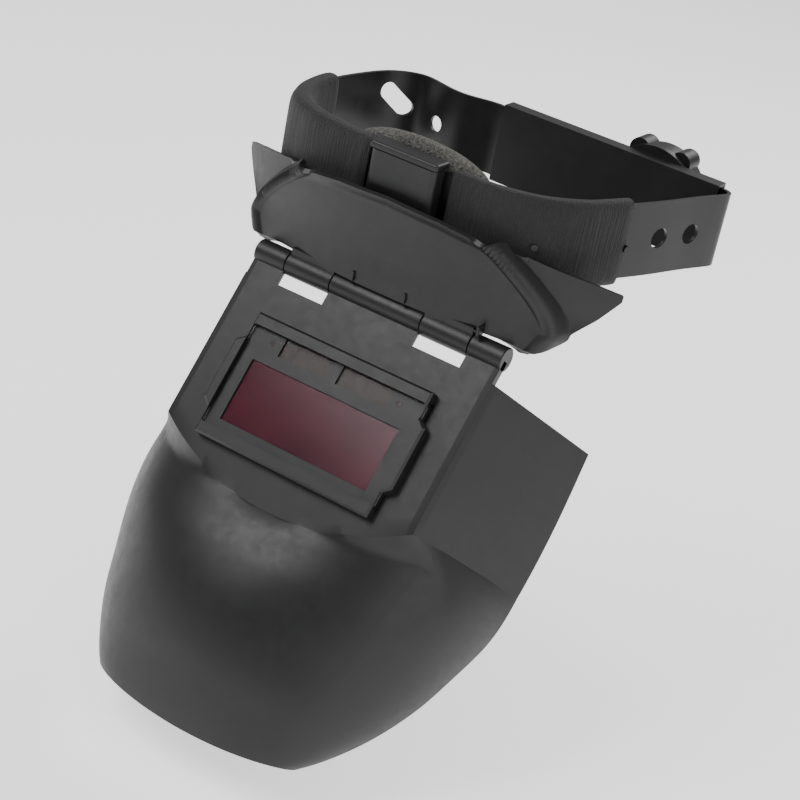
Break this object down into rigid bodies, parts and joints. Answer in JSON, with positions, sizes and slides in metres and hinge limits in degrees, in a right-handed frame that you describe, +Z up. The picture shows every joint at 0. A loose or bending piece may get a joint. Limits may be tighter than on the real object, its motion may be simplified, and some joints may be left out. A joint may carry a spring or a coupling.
{
  "type": "welding helmet",
  "caption": "Flip-up auto-darkening welding half mask hinged to a brow guard on a padded ratchet headband.",
  "frame": {"origin": "centre of the wearer's head ring, at the mid height of the headband", "axes": "+X to the wearer's left, +Y to the back of the head, +Z up; the mask faces -Y and is held half raised at rest"},
  "size_m": [0.2339, 0.2776, 0.2938],
  "materials": {
    "black_plastic": "fine moulded texture, soft sheen",
    "strap_plastic": "smooth flexible plastic",
    "ribbed_fabric": "ribbed terry fabric",
    "foam": "open foam",
    "clear_lens": "clear polycarbonate",
    "maroon_glass": "dark tinted filter",
    "solar_cell": "dark brown solar film",
    "circuit_board": "green board",
    "steel": "zinc-plated steel"
  },
  "bodies": {
    "mask": {"face_shield": "black_plastic", "filter_frame": "black_plastic", "cover_lens_outer": "clear_lens", "filter_bezel": "black_plastic", "uv_ir_filter_glass": "maroon_glass", "lcd_shutter": "maroon_glass", "solar_cells": "solar_cell", "arc_sensors": "solar_cell", "circuit_board": "circuit_board", "coin_cells": "steel", "filter_back_cover": "black_plastic", "cover_lens_inner": "clear_lens", "lens_retainer": "black_plastic", "retainer_screws": "steel"},
    "headband": {"brow_guard": "black_plastic", "hinge_pin": "steel", "front_bracket": "black_plastic", "bracket_cap": "black_plastic", "headband_strap": "strap_plastic", "sweatband_right": "ribbed_fabric", "sweatband_left": "ribbed_fabric", "forehead_foam": "foam", "nape_sleeve": "black_plastic", "knob_housing": "black_plastic", "sweatband_pegs": "strap_plastic"},
    "knob": {"pinion": "black_plastic", "detent_pawl": "black_plastic", "ratchet_knob": "black_plastic", "knob_screw": "steel"},
    "right_rack": {"right_strap_rack": "strap_plastic"},
    "left_rack": {"left_strap_rack": "strap_plastic"}
  },
  "joints": [
    {"name": "mask_flip", "type": "hinge", "parent": "headband", "child": "mask", "pos_m": [0, -0.067, -0.057], "axis": [1, 0, 0], "range_deg": [-66, 36.5]},
    {"name": "knob_turn", "type": "hinge", "parent": "headband", "child": "knob", "pos_m": [0.07, 0.064, 0], "axis": [0, 1, 0], "range_deg": [-90, 90]},
    {"name": "right_rack_slide", "type": "slide", "parent": "headband", "child": "right_rack", "axis": [1, 0, 0], "range_m": [-0.0096, 0.0096]},
    {"name": "left_rack_slide", "type": "slide", "parent": "headband", "child": "left_rack", "axis": [1, 0, 0], "range_m": [-0.0096, 0.0096]}
  ],
  "couplings": [
    {"joint": "right_rack_slide", "follows": "knob_turn", "m_per_rad": 0.006},
    {"joint": "left_rack_slide", "follows": "knob_turn", "m_per_rad": -0.006}
  ]
}
